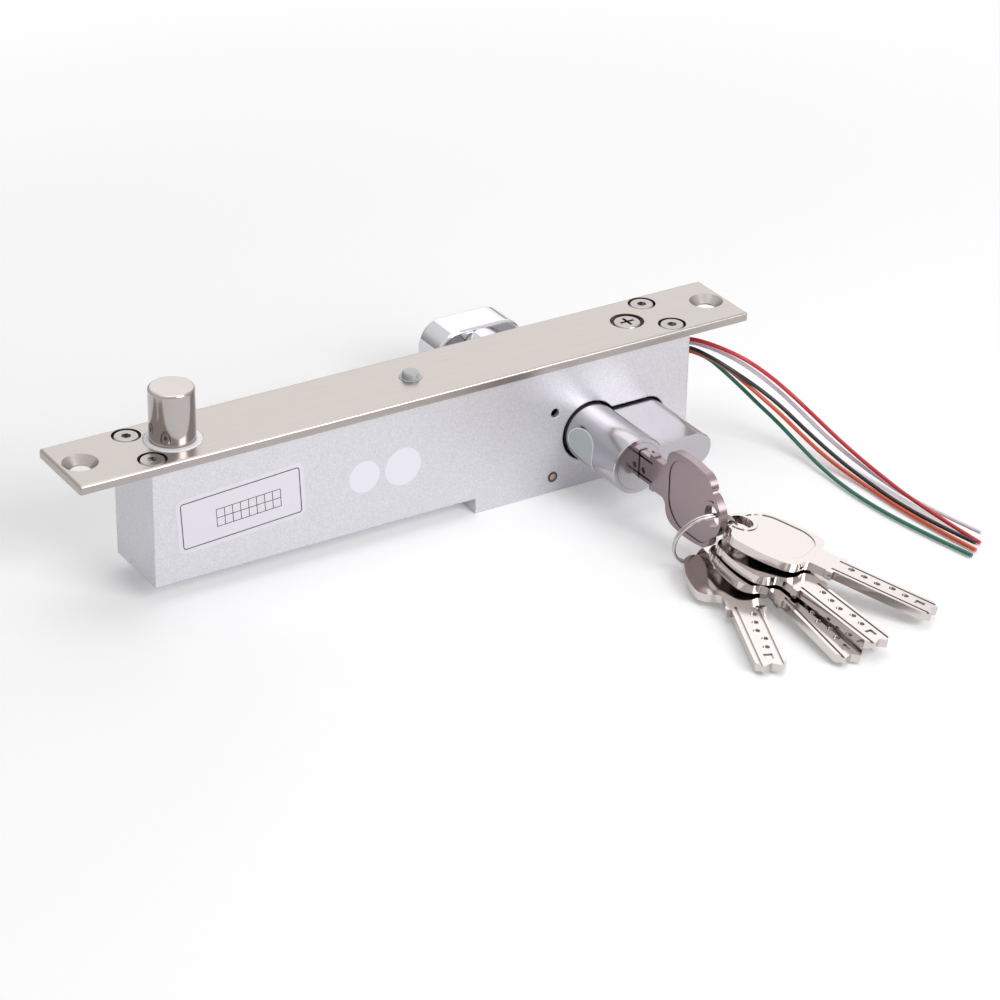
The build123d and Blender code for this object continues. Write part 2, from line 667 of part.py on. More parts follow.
def key_outline():
    """One key seen flat, its hole at the origin and its blade along +X."""
    lobe = ThreePointArc((BOW_BACK, 0), (BOW_BACK + 0.9, 3.5), (BOW_BACK + 3.4, 6.2))
    notch = ThreePointArc(lobe @ 1, (BOW_BACK + 4.5, 7.1), (BOW_BACK + 4.8, 8.3))
    corner = ThreePointArc(notch @ 1, (BOW_BACK + 6.3, BOW_HALF - 1.6), (BOW_BACK + 9.2, BOW_HALF - 0.7))
    side = ThreePointArc(corner @ 1, (12.5, BOW_HALF), (BOW_END - 3.4, BOW_HALF - 0.7))
    shoulder = ThreePointArc(side @ 1, (BOW_END - 0.9, BOW_HALF - 2.4), (BOW_END, BOW_HALF - 4.9))
    throat = ThreePointArc(shoulder @ 1, (BOW_END + 0.6, NECK_HALF + 0.7), (BOW_END + 1.9, NECK_HALF))
    blade = Polyline(
        throat @ 1,
        (NECK_END, NECK_HALF),
        (NECK_END, NECK_HALF + TAB),
        (NECK_END + 2, NECK_HALF + TAB),
        (NECK_END + 2, BLADE_HALF),
        (BLADE_TIP - 2.2, BLADE_HALF),
        (BLADE_TIP, BLADE_HALF - 2),
        (BLADE_TIP - 1.3, 0),
    )
    close = Line(blade @ 1, lobe @ 0)
    half = make_face(Curve() + [lobe, notch, corner, side, shoulder, throat, blade, close])
    return half + mirror(half, Plane.XZ)


def flat_key():
    """A dimple key: rimmed bow with a hole, grooved blade with slanted cuts and a pocket at the tip."""
    outline = key_outline()
    key = Pos(0, 0, -KEY_THICK / 2) * extrude(outline, KEY_THICK)
    key -= Cylinder(KEY_HOLE_R, 2 * KEY_THICK)
    left = BOW_BACK + 3.2
    right = BOW_END - 1.3
    field = Pos((left + right) / 2, 0) * RectangleRounded(right - left, 2 * BOW_HALF - 3.2, 7.5)
    field -= Circle(KEY_HOLE_R + 1.0)
    floor = KEY_THICK / 2 - 0.25
    key -= Pos(0, 0, floor) * extrude(field, 1)
    key -= Pos(0, 0, -floor - 1) * extrude(field, 1)
    for face in (1, -1):
        for row in (-2.9, 2.9):
            groove = Pos(BLADE_TIP / 2 + 14.5, row, face * KEY_THICK / 2) * Box(30, 0.7, 0.8)
            key -= groove
        for n in range(5):
            cut = Pos(33 + 4.1 * n, face * (1.1 - 0.6 * (n % 3)), face * KEY_THICK / 2)
            key -= cut * Rot(0, 0, 25) * Cylinder(0.95, 1.0)
        key -= Pos(BLADE_TIP - 4.6, 0, face * KEY_THICK / 2) * Box(2.6, 2.4, 0.7)
    return key


def key_plane(angle, yaw, slope, roll, hang, aside):
    """The plane of a spare key: its blade leaves -Y by yaw towards +X and drops by slope."""
    along = Vector(
        sin(radians(yaw)) * cos(radians(slope)),
        -cos(radians(yaw)) * cos(radians(slope)),
        -sin(radians(slope)),
    )
    across = Vector(cos(radians(yaw)), sin(radians(yaw)), 0)
    normal = along.cross(across) * -cos(radians(roll)) + across * sin(radians(roll))
    hole = ring_point(angle) + along * hang + across * aside
    return Plane(origin=hole, x_dir=along, z_dir=normal)


def ring_axes():
    """The ring's normal and the direction to its highest point."""
    azimuth = radians(RING_AZIMUTH)
    lean = radians(RING_ELEVATION)
    normal = Vector(cos(azimuth) * cos(lean), sin(azimuth) * cos(lean), sin(lean))
    level = Vector(sin(azimuth), -cos(azimuth), 0)
    return normal, level, level.cross(normal)


def ring_point(angle):
    """A point of the ring's wire, by its angle from the top towards +X."""
    normal, level, top = ring_axes()
    turn = radians(angle)
    return Vector(*RING_CENTRE) + (top * cos(turn) + level * sin(turn)) * RING_R


def key_ring():
    """A split ring of two turns that touch."""
    normal, level, top = ring_axes()
    section = Pos(RING_R, RING_WIRE_R * 0.9) * Circle(RING_WIRE_R)
    section += Pos(RING_R, -RING_WIRE_R * 0.9) * Circle(RING_WIRE_R)
    ring = revolve(Plane.XZ * section, Axis.Z)
    return Plane(origin=RING_CENTRE, x_dir=level, z_dir=normal) * ring


def wire_grommet():
    """A sleeve that snaps into the case's end wall."""
    left = CASE_RIGHT - CASE_WALL
    sleeve = along_x(GROMMET_R, left, CASE_RIGHT, 0, GROMMET_Z)
    sleeve += along_x(GROMMET_R + 0.9, left - 1.0, left, 0, GROMMET_Z)
    flange = along_x(GROMMET_R + 0.9, CASE_RIGHT, CASE_RIGHT + GROMMET_PROUD, 0, GROMMET_Z)
    return sleeve + flange


# Route of each wire from the grommet's face. They leave side by side, curve towards the front and
# drop to the surface the lock stands on.
WIRES = {
    "wire_red": [
        (EXIT_X, 0.0, 31.4), (39.4, -0.2, 31.7), (43.4, -7.8, 31.8), (50.2, -14.0, 28.5),
        (56.9, -17.0, 23.0), (62.4, -19.8, 17.5), (67.1, -23.7, 12.0), (70.0, -36.0, 6.6),
        (71.0, -50.7, 3.7), (70.4, -74.0, 2.6), (73.6, -97.2, 1.0),
    ],
    "wire_black": [
        (EXIT_X, -1.6, 30.2), (38.8, -2.0, 30.0), (42.7, -9.4, 28.3), (48.2, -13.7, 24.0),
        (54.8, -15.9, 18.5), (59.8, -20.7, 13.5), (63.5, -26.0, 8.5), (66.3, -36.3, 4.0),
        (67.6, -48.9, 1.6), (67.9, -75.4, 1.0), (71.1, -98.1, 2.2),
    ],
    "wire_white": [
        (EXIT_X, 1.4, 29.8), (40.2, 0.9, 30.0), (45.0, -6.6, 29.5), (50.8, -12.4, 26.2),
        (56.8, -15.4, 21.0), (62.4, -17.5, 15.5), (66.3, -22.0, 10.5), (69.3, -34.1, 5.0),
        (71.4, -49.8, 1.8), (72.5, -71.1, 1.2), (75.2, -95.8, 3.0),
    ],
    "wire_orange": [
        (EXIT_X, -1.0, 28.5), (39.0, -1.0, 28.3), (43.4, -5.9, 27.0), (47.6, -9.7, 24.3),
        (53.4, -15.4, 18.0), (59.1, -22.0, 11.5), (62.1, -28.1, 7.0), (64.4, -38.0, 3.0),
        (66.2, -50.8, 1.0), (66.6, -77.0, 1.0), (70.0, -99.9, 1.0),
    ],
    "wire_green": [
        (EXIT_X, 0.9, 28.0), (40.2, 0.5, 27.4), (45.2, -3.6, 25.4), (48.5, -7.2, 21.9),
        (52.1, -11.2, 17.5), (56.0, -14.8, 12.5), (59.6, -19.7, 8.0), (61.5, -29.4, 3.5),
        (61.0, -43.0, 1.2), (60.4, -60.0, 1.0), (62.5, -80.3, 1.0), (67.2, -101.7, 1.0),
    ],
}


def wire(points):
    """A round wire through points, each corner rounded as far as its two runs allow."""
    radii = []
    for a, b, c in zip(points, points[1:], points[2:]):
        one = Vector(*b) - Vector(*a)
        two = Vector(*c) - Vector(*b)
        turn = one.get_angle(two)
        radii.append(0.45 * min(one.length, two.length) / tan(radians(turn / 2)))
    path = FilletPolyline(*points, radius=radii)
    start = Plane(origin=path @ 0, z_dir=path % 0)
    tube = sweep(start * Circle(WIRE_R), path)
    expected = pi * WIRE_R ** 2 * path.length
    print("  radii", [round(r, 1) for r in radii], "length", round(path.length, 1),
          "volume share", round(tube.volume / expected, 4))
    return tube


def export(name, shape):
    """Writes one piece, or a group of alike pieces, under its name."""
    if isinstance(shape, list):
        shape = Compound(children=shape)
    export_step(shape, f"parts/{name}.step")


def main():
    os.makedirs("parts", exist_ok=True)
    pieces = [
        face_plate, case_body, rear_cover, cover_screws, plate_screws, cylinder_fixing_screw, case_rivet,
        bolt, bolt_cross_pin, bolt_lug, bolt_bush, return_spring, bell_crank, crank_pin, solenoid_frame,
        solenoid_coil, solenoid_plunger, plunger_clip, link_pin, release_bar, release_pin, circuit_board,
        board_components, led, led_lens, door_sensor, cylinder_body, cylinder_plug, plug_clip, cam,
        knob_spindle, thumb_knob, knob_set_screw, key_ring, wire_grommet,
    ]
    for piece in pieces:
        export(piece.__name__, piece())
    key = flat_key()
    in_lock = Plane(origin=(KEY_X, KEY_HOLE_Y, KEY_Z), x_dir=(0, 1, 0), z_dir=(1, 0, 0))
    export("key_in_lock", in_lock * key)
    for name, place in SPARE_KEYS.items():
        export(name, key_plane(*place) * key)
    for name, points in WIRES.items():
        print(name)
        export(name, wire(points))


main()
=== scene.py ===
# The looks of the electric drop bolt lock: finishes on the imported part, its label places and its free wires.
import json
import math

import bmesh
import bpy
from mathutils import Matrix, Vector

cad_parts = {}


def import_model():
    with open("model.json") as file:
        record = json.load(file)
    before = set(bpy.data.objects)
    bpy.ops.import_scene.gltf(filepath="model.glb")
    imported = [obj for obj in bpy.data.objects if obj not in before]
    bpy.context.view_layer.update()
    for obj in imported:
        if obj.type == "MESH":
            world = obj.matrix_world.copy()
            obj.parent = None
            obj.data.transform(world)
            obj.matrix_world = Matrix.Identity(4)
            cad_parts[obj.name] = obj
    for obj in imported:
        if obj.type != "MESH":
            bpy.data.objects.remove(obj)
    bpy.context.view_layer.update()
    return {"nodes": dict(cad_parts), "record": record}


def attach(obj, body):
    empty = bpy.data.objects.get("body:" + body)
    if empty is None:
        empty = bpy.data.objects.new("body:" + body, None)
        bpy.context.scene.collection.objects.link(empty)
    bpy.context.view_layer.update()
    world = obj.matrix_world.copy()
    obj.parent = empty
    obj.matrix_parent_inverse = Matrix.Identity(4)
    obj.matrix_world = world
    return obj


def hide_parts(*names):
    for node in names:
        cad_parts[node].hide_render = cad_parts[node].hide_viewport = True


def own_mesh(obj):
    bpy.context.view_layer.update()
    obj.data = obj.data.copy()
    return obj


MM = 0.001
WHITE = (1, 1, 1, 1)

# Where the picture was taken from, in metres, and how the camera was held
CAMERA_PLACE = (-0.485604, -0.731908, 0.466597)
CAMERA_LOOK = (0.469565, 0.742075, -0.478365)
CAMERA_ROLL = 1.109
CAMERA_LENS = 124.23
SENSOR = 36

# The soft boxes: place and side in metres, power in watts; all look at the middle of the lock
LAMPS = {
    "front_light": ((0.25, -0.9, 0.6), 0.6, 7),
    "back_light": ((0.5, 0.75, 0.56), 0.9, 1.7),
    "top_light": ((0, 0.1, 1.0), 0.8, 2.5),
}
LAMP_TARGET = (-0.04, -0.02, 0.02)

# What metal sees of the studio, as grey levels by height from the floor (0) to overhead (1)
STUDIO_LEVELS = {0.2: 0.5, 0.42: 0.85, 0.6: 0.95}
STUDIO_LOW = (0.34, 0.34, 0.35)
STUDIO_TOP = 0.9
# How strongly the studio lights the lock
STUDIO_FILL = 0.36

# The floor: half its side in metres, and how much it glows by itself for the eye
FLOOR_HALF = 4
FLOOR_GLOW = 0.15

# How far from the middle the floor starts to fade into white, and where it is all white, in metres
FLOOR_NEAR = 0.15
FLOOR_FAR = 0.45

# The case, in millimetres
CASE_FRONT = -11.4

# The label place on the front of the case: a printed frame and an empty grid, stuck on a little askew
LABEL_MIDDLE = (-111.4, 21.85)
LABEL_WIDTH = 36.1
LABEL_HEIGHT = 14.0
LABEL_TILT = 3.2
LABEL_ROUND = 0.9
LABEL_MARGIN = 1.3
LABEL_LINE = 0.28
FILM = 0.06
INK = 0.02
GRID_MIDDLE = (2.15, -0.45)
GRID_WIDTH = 19.4
GRID_HEIGHT = 5.2
GRID_COLUMNS = 8
GRID_ROWS = 2
GRID_LINE = 0.2

# The two round stickers beside it: place along the case, height, radius
ROUND_STICKERS = {"sticker_small": (-73.6, 21.3, 4.8), "sticker_large": (-61.4, 21.3, 5.7)}

# The rivet low on the case: its place along the case and its height, and the radius where its lip starts, past
# which painted shade is drawn
RIVET = (-12.2, 4.8)
RIVET_LIP_R = 1.0

# How far from a corner its shade reaches, and how much light is left in the deepest ones
CORNER_REACH = 0.8
CORNER_SHADE = 0.15

# The lock cylinder
AXIS_Z = 16.6
BARREL_R = 8.5
# The teardrop sticker on the barrel: its head's place along and round the barrel, its half sizes and its tip
DROP_HEAD = (-19.5, 25.5)
DROP_SIZE = (6.4, 4.5)
DROP_TIP = (-24.9, 33.2)
# Its light edge starts at this share of the way out. It lies this far off the barrel, and this power draws
# its tip out
DROP_EDGE = 0.93
DROP_LIFT = 0.01
DROP_POINT = 5

# The wires: their radius, their real lengths along the curve and the points they run by
WIRE_R = 0.6
WIRES = {
    "wire_red": (0.1237, "red_insulation", [
        (34.2, 0, 31.4), (39.4, -0.2, 31.7), (43.4, -7.8, 31.8), (50.2, -14, 28.5), (56.9, -17, 23),
        (62.4, -19.8, 17.5), (67.1, -23.7, 12), (70, -36, 6.6), (71, -50.7, 3.7), (70.4, -74, 2.6),
        (73.6, -97.2, 1)]),
    "wire_black": (0.1200, "black_insulation", [
        (34.2, -1.6, 30.2), (38.8, -2, 30), (42.7, -9.4, 28.3), (48.2, -13.7, 24), (54.8, -15.9, 18.5),
        (59.8, -20.7, 13.5), (63.5, -26, 8.5), (66.3, -36.3, 4), (67.6, -48.9, 1.6), (67.9, -75.4, 1),
        (71.1, -98.1, 2.2)]),
    "wire_white": (0.1233, "white_insulation", [
        (34.2, 1.4, 29.8), (40.2, 0.9, 30), (45, -6.6, 29.5), (50.8, -12.4, 26.2), (56.8, -15.4, 21),
        (62.4, -17.5, 15.5), (66.3, -22, 10.5), (69.3, -34.1, 5), (71.4, -49.8, 1.8), (72.5, -71.1, 1.2),
        (75.2, -95.8, 3)]),
    "wire_orange": (0.1199, "orange_insulation", [
        (34.2, -1, 28.5), (39, -1, 28.3), (43.4, -5.9, 27), (47.6, -9.7, 24.3), (53.4, -15.4, 18),
        (59.1, -22, 11.5), (62.1, -28.1, 7), (64.4, -38, 3), (66.2, -50.8, 1), (66.6, -77, 1),
        (70, -99.9, 1)]),
    "wire_green": (0.1241, "green_insulation", [
        (34.2, 0.9, 28), (40.2, 0.5, 27.4), (45.2, -3.6, 25.4), (48.5, -7.2, 21.9), (52.1, -11.2, 17.5),
        (56, -14.8, 12.5), (59.6, -19.7, 8), (61.5, -29.4, 3.5), (61, -43, 1.2), (60.4, -60, 1),
        (62.5, -80.3, 1), (67.2, -101.7, 1)]),
}


# Camera, light and floor

def make_camera():
    """The camera of the picture: placed, aimed and rolled as it was."""
    forward = Vector(CAMERA_LOOK).normalized()
    right = forward.cross(Vector((0, 0, 1))).normalized()
    up = right.cross(forward)
    roll = math.radians(CAMERA_ROLL)
    across = right * math.cos(roll) + up * math.sin(roll)
    above = up * math.cos(roll) - right * math.sin(roll)
    data = bpy.data.cameras.new("camera")
    data.sensor_width = SENSOR
    data.lens = CAMERA_LENS
    data.clip_start = 0.05
    data.clip_end = 20
    camera = bpy.data.objects.new("camera", data)
    turned = Matrix((across, above, -forward)).transposed().to_4x4()
    camera.matrix_world = Matrix.Translation(CAMERA_PLACE) @ turned
    bpy.context.scene.collection.objects.link(camera)
    bpy.context.scene.camera = camera


def make_lamp(name, place, size, power):
    """A square soft box that looks at the lock."""
    data = bpy.data.lights.new(name, "AREA")
    data.size = size
    data.energy = power
    lamp = bpy.data.objects.new(name, data)
    aim = Vector(LAMP_TARGET) - Vector(place)
    lamp.rotation_mode = "QUATERNION"
    lamp.rotation_quaternion = aim.to_track_quat("-Z", "Y")
    lamp.location = place
    bpy.context.scene.collection.objects.link(lamp)


def add(tree, kind, settings, inputs):
    """One more node: its settings, and its inputs, each a value or the output of another node."""
    node = tree.nodes.new(kind)
    for name, value in settings.items():
        setattr(node, name, value)
    for name, value in inputs.items():
        if isinstance(value, bpy.types.NodeSocket):
            tree.links.new(value, node.inputs[name])
        else:
            node.inputs[name].default_value = value
    return node


def linear(code):
    """A colour written as sRGB hex, in the linear values that the renderer works in."""
    shares = [int(code[i:i + 2], 16) / 255 for i in (1, 3, 5)]
    return [s / 12.92 if s <= 0.04045 else ((s + 0.055) / 1.055) ** 2.4 for s in shares] + [1.0]


def seen_directly(tree):
    """1 for what the eye, a shiny surface or glass sees, and 0 for what only lights the object."""
    path = add(tree, "ShaderNodeLightPath", {}, {})
    first = add(tree, "ShaderNodeMath", {"operation": "MAXIMUM"},
                {0: path.outputs["Is Camera Ray"], 1: path.outputs["Is Glossy Ray"]})
    both = add(tree, "ShaderNodeMath", {"operation": "MAXIMUM"},
               {0: first.outputs[0], 1: path.outputs["Is Transmission Ray"]})
    return both.outputs[0]


def make_world():
    """A white studio. The eye sees plain white; metal sees it a little greyer low down."""
    world = bpy.data.worlds.new("studio")
    bpy.context.scene.world = world
    world.use_nodes = True
    tree = world.node_tree
    tree.nodes.clear()
    coordinate = add(tree, "ShaderNodeTexCoord", {}, {})
    split = add(tree, "ShaderNodeSeparateXYZ", {}, {0: coordinate.outputs["Generated"]})
    ramp = add(tree, "ShaderNodeValToRGB", {}, {"Fac": split.outputs["Z"]})
    stops = ramp.color_ramp.elements
    stops[0].position = 0.0
    stops[0].color = (*STUDIO_LOW, 1)
    stops[1].position = STUDIO_TOP
    stops[1].color = WHITE
    for place, level in STUDIO_LEVELS.items():
        stop = stops.new(place)
        stop.color = (level, level, level, 1)
    shine = add(tree, "ShaderNodeBackground", {}, {"Color": ramp.outputs["Color"], "Strength": 1.0})
    fill = add(tree, "ShaderNodeBackground", {}, {"Color": WHITE, "Strength": STUDIO_FILL})
    mix = add(tree, "ShaderNodeMixShader", {},
              {0: seen_directly(tree), 1: fill.outputs[0], 2: shine.outputs[0]})
    white = add(tree, "ShaderNodeBackground", {}, {"Color": WHITE, "Strength": 1.0})
    path = add(tree, "ShaderNodeLightPath", {}, {})
    seen = add(tree, "ShaderNodeMixShader", {},
               {0: path.outputs["Is Camera Ray"], 1: mix.outputs[0], 2: white.outputs[0]})
    add(tree, "ShaderNodeOutputWorld", {}, {"Surface": seen.outputs[0]})


def make_floor():
    """Plain white paper that keeps the soft shadow, and runs out into the white of the studio."""
    mesh = bpy.data.meshes.new("floor")
    bm = bmesh.new()
    bmesh.ops.create_grid(bm, x_segments=1, y_segments=1, size=FLOOR_HALF)
    bm.to_mesh(mesh)
    bm.free()
    floor = bpy.data.objects.new("floor", mesh)
    bpy.context.scene.collection.objects.link(floor)
    paper = bpy.data.materials.new("white_paper")
    paper.use_nodes = True
    tree = paper.node_tree
    tree.nodes.clear()
    dull = add(tree, "ShaderNodeBsdfDiffuse", {}, {"Color": linear("#F6F6F7")})
    lift = add(tree, "ShaderNodeMath", {"operation": "MULTIPLY"}, {0: seen_directly(tree), 1: FLOOR_GLOW})
    glow = add(tree, "ShaderNodeEmission", {}, {"Color": WHITE, "Strength": lift.outputs[0]})
    near = add(tree, "ShaderNodeAddShader", {}, {0: dull.outputs[0], 1: glow.outputs[0]})
    coordinate = add(tree, "ShaderNodeTexCoord", {}, {})
    reach = add(tree, "ShaderNodeVectorMath", {"operation": "LENGTH"}, {0: coordinate.outputs["Object"]})
    away = add(tree, "ShaderNodeMapRange", {"interpolation_type": "SMOOTHSTEP"},
               {"Value": reach.outputs["Value"], "From Min": FLOOR_NEAR, "From Max": FLOOR_FAR})
    share = add(tree, "ShaderNodeMath", {"operation": "MULTIPLY"},
                {0: away.outputs[0], 1: seen_directly(tree)})
    white = add(tree, "ShaderNodeEmission", {}, {"Color": WHITE, "Strength": 1.0})
    both = add(tree, "ShaderNodeMixShader", {},
               {0: share.outputs[0], 1: near.outputs[0], 2: white.outputs[0]})
    add(tree, "ShaderNodeOutputMaterial", {}, {"Surface": both.outputs[0]})
    mesh.materials.append(paper)


# Materials

def new_material(name):
    """An empty material with its shader, as (material, tree, shader)."""
    made = bpy.data.materials.new(name)
    made.use_nodes = True
    tree = made.node_tree
    tree.nodes.clear()
    shader = add(tree, "ShaderNodeBsdfPrincipled", {}, {})
    add(tree, "ShaderNodeOutputMaterial", {}, {"Surface": shader.outputs[0]})
    return made, tree, shader


def set_inputs(shader, **values):
    """Plain values on the shader's own sockets."""
    for name, value in values.items():
        shader.inputs[name.replace("_", " ")].default_value = value


def object_place(tree, stretch=(1, 1, 1)):
    """Object coordinates, drawn out along any axis."""
    coordinate = add(tree, "ShaderNodeTexCoord", {}, {})
    mapping = add(tree, "ShaderNodeMapping", {}, {"Vector": coordinate.outputs["Object"], "Scale": stretch})
    return mapping.outputs[0]


def spread(tree, value, low, high):
    """A 0 to 1 pattern laid between two values."""
    return add(tree, "ShaderNodeMapRange", {}, {"Value": value, "To Min": low, "To Max": high}).outputs[0]


def tint(tree, value, dark, light):
    """A 0 to 1 pattern laid between two colours."""
    mix = add(tree, "ShaderNodeMix", {"data_type": "RGBA"},
              {0: value, 6: linear(dark), 7: linear(light)})
    return mix.outputs[2]


def roughen(tree, shader, pattern, depth):
    """The pattern as fine relief, depth in millimetres."""
    bump = add(tree, "ShaderNodeBump", {}, {"Height": pattern, "Strength": 1.0, "Distance": depth * MM})
    tree.links.new(bump.outputs[0], shader.inputs["Normal"])
    return bump


def paint_corner_shade(tree, colour):
    """Paints shade into the colour in grooves and at the foot of steps, where little light gets in."""
    open_share = add(tree, "ShaderNodeAmbientOcclusion", {"samples": 8}, {"Distance": CORNER_REACH * MM})
    shade = spread(tree, open_share.outputs["AO"], CORNER_SHADE, 1.0)
    mix = add(tree, "ShaderNodeVectorMath", {"operation": "SCALE"}, {0: colour, "Scale": shade})
    return mix.outputs[0]


def grained_metal_with_painted_shade(name, dark, light, rough_low, rough_high, grain, stretch, relief):
    """Bare metal whose grain shows as faint changes of tone, gloss and relief, with painted shade in its
    grooves and corners; grain is in millimetres.
    """
    made, tree, shader = new_material(name)
    noise = add(tree, "ShaderNodeTexNoise", {},
                {"Vector": object_place(tree, stretch), "Scale": 1 / (grain * MM), "Detail": 4.0})
    value = noise.outputs[0]
    set_inputs(shader, Metallic=1.0)
    # Painted shade: the grain's colour is darkened in grooves and corners
    tree.links.new(paint_corner_shade(tree, tint(tree, value, dark, light)), shader.inputs["Base Color"])
    tree.links.new(spread(tree, value, rough_low, rough_high), shader.inputs["Roughness"])
    roughen(tree, shader, value, relief)
    return made


def smooth_plastic(name, colour, rough, ior=1.5):
    """Moulded or extruded plastic: one colour and a plain gloss."""
    made, tree, shader = new_material(name)
    set_inputs(shader, Base_Color=linear(colour), Roughness=rough, IOR=ior)
    return made


def case_metal():
    """Fine-blasted aluminium, clear anodised: tiny bright and dark grains over a pale, cool grey."""
    made, tree, shader = new_material("blasted_aluminium")
    # Blasting grit leaves pits of about 0.1 mm; they are drawn at 0.3 mm so that they show
    grains = add(tree, "ShaderNodeTexVoronoi", {},
                 {"Vector": object_place(tree), "Scale": 1 / (0.3 * MM)})
    bright = add(tree, "ShaderNodeSeparateColor", {}, {0: grains.outputs["Color"]}).outputs[0]
    set_inputs(shader, Metallic=0.6, Roughness=0.4)
    tree.links.new(tint(tree, bright, "#D2D1D6", "#E2E1E6"), shader.inputs["Base Color"])
    # Pressed corners are round by half a millimetre or so
    corner = add(tree, "ShaderNodeBevel", {"samples": 6}, {"Radius": 0.5 * MM})
    bump = roughen(tree, shader, bright, 0.003)
    tree.links.new(corner.outputs[0], bump.inputs["Normal"])
    return made


def rivet_metal():
    """Copper plated steel: a dull pink middle, and a lip painted nearly black as the shade of the groove round
    the head.
    """
    made, tree, shader = new_material("copper_with_painted_groove_shade")
    coordinate = add(tree, "ShaderNodeTexCoord", {}, {})
    middle = (RIVET[0] * MM, 0, RIVET[1] * MM)
    aside = add(tree, "ShaderNodeVectorMath", {"operation": "SUBTRACT"},
                {0: coordinate.outputs["Object"], 1: middle})
    flat = add(tree, "ShaderNodeVectorMath", {"operation": "MULTIPLY"}, {0: aside.outputs[0], 1: (1, 0, 1)})
    reach = add(tree, "ShaderNodeVectorMath", {"operation": "LENGTH"}, {0: flat.outputs[0]})
    lip = add(tree, "ShaderNodeMapRange", {},
              {"Value": reach.outputs["Value"], "From Min": (RIVET_LIP_R - 0.05) * MM,
               "From Max": (RIVET_LIP_R + 0.05) * MM})
    set_inputs(shader, Metallic=0.6, Roughness=0.4)
    # Painted shade: the lip is nearly black for the shade in the groove round the rivet head
    tree.links.new(tint(tree, lip.outputs[0], "#CDB9B5", "#5E4B4A"), shader.inputs["Base Color"])
    return made


def clear_plastic():
    """Clear polycarbonate: see-through with a smooth gloss, a little milky from the diffuser inside."""
    made, tree, shader = new_material("clear_polycarbonate")
    set_inputs(shader, Base_Color=linear("#EEF2F3"), Roughness=0.12, IOR=1.58, Transmission_Weight=0.55)
    return made


def make_materials():
    """Every finish, by the record's slot name."""
    return {
        # Brushed stainless sheet: long fine scratches along the plate and a warm pale grey
        "stainless_plate": grained_metal_with_painted_shade("brushed_stainless", "#ABA49F", "#BAB2AE",
                                      0.24, 0.36, 0.35, (0.02, 1, 1), 0.0015),
        # Ground and polished steel bar: a smooth bright round with a faint turned grain
        "bolt_steel": grained_metal_with_painted_shade("polished_steel", "#B2ACAA", "#BEB7B5",
                                 0.12, 0.18, 0.5, (0.1, 0.1, 1), 0.0008),
        # Zinc plated screws: smooth, slightly uneven, gone a little grey
        "screw_steel": grained_metal_with_painted_shade("plated_screw_steel", "#9C9795", "#B2ADAA",
                                  0.2, 0.3, 0.6, (1, 1, 1), 0.001),
        "case_metal": case_metal(),
        # Satin nickel on brass: soft highlights, a plain grey
        "cylinder_nickel": grained_metal_with_painted_shade("satin_nickel", "#B4B2B6", "#C2C0C4",
                                      0.14, 0.2, 0.8, (1, 0.1, 1), 0.0006),
        # Polished chrome: a near mirror
        "knob_chrome": grained_metal_with_painted_shade("polished_chrome", "#D0CED2", "#D8D6DA",
                                  0.05, 0.08, 2.0, (1, 1, 1), 0.0002),
        # New nickel plated key blanks: polished, bright and slightly warm
        "key_nickel": grained_metal_with_painted_shade("polished_nickel", "#CBC3C0", "#D9D2CF",
                                 0.1, 0.16, 0.5, (1, 1, 1), 0.001),
        # Spring steel ring wire, nickel plated
        "ring_steel": grained_metal_with_painted_shade("nickel_wire", "#B9B2AF", "#D0CAC7",
                                 0.14, 0.2, 0.5, (1, 1, 1), 0.0005),
        # Acetal: white, slightly waxy
        "white_plastic": smooth_plastic("white_acetal", "#EFEDF0", 0.35, 1.48),
        "clear_plastic": clear_plastic(),
        # Moulded nylon, black and dull
        "black_plastic": smooth_plastic("black_nylon", "#1C1B1D", 0.5, 1.53),
        # Glass fibre board under green solder mask
        "board_green": smooth_plastic("green_solder_mask", "#1B5B38", 0.3, 1.55),
        # Zinc plated mild steel: pale, cool and a little cloudy
        "zinc_steel": grained_metal_with_painted_shade("zinc_plated_steel", "#A9ACB0", "#CDD0D4",
                                 0.28, 0.42, 1.5, (1, 1, 1), 0.002),
        # Polyester tape round the winding: amber and glossy
        "coil_tape": smooth_plastic("polyester_tape", "#A84A1E", 0.25, 1.6),
        # PVC insulation: bright, smooth, softly glossy
        "red_insulation": smooth_plastic("red_pvc", "#C8282E", 0.32, 1.53),
        "black_insulation": smooth_plastic("black_pvc", "#151214", 0.32, 1.53),
        "white_insulation": smooth_plastic("white_pvc", "#E8E4F0", 0.32, 1.53),
        "orange_insulation": smooth_plastic("orange_pvc", "#D2522F", 0.32, 1.53),
        "green_insulation": smooth_plastic("teal_green_pvc", "#176B57", 0.32, 1.53),
    }


# Pieces

def new_piece(name, bm, material):
    """A finished mesh as a piece at the origin that rides on the lock's own body."""
    bmesh.ops.recalc_face_normals(bm, faces=bm.faces)
    mesh = bpy.data.meshes.new(name)
    bm.to_mesh(mesh)
    bm.free()
    mesh.materials.append(material)
    piece = bpy.data.objects.new(name, mesh)
    bpy.context.scene.collection.objects.link(piece)
    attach(piece, "lock")
    return piece


def rounded_sheet(bm, width, height, radius):
    """A flat upright sheet round the origin with rounded corners, facing the front; gives its face."""
    turn = Matrix.Rotation(math.pi / 2, 4, "X")
    made = bmesh.ops.create_grid(bm, x_segments=1, y_segments=1, size=0.5)
    corners = made["verts"]
    bmesh.ops.scale(bm, vec=(width * MM, height * MM, 1), verts=corners)
    bmesh.ops.rotate(bm, cent=(0, 0, 0), matrix=turn, verts=corners)
    bmesh.ops.bevel(bm, geom=corners, offset=radius * MM, offset_type="OFFSET", affect="VERTICES",
                    segments=6, profile=0.5, material=-1)
    return max(bm.faces, key=lambda face: face.calc_area())


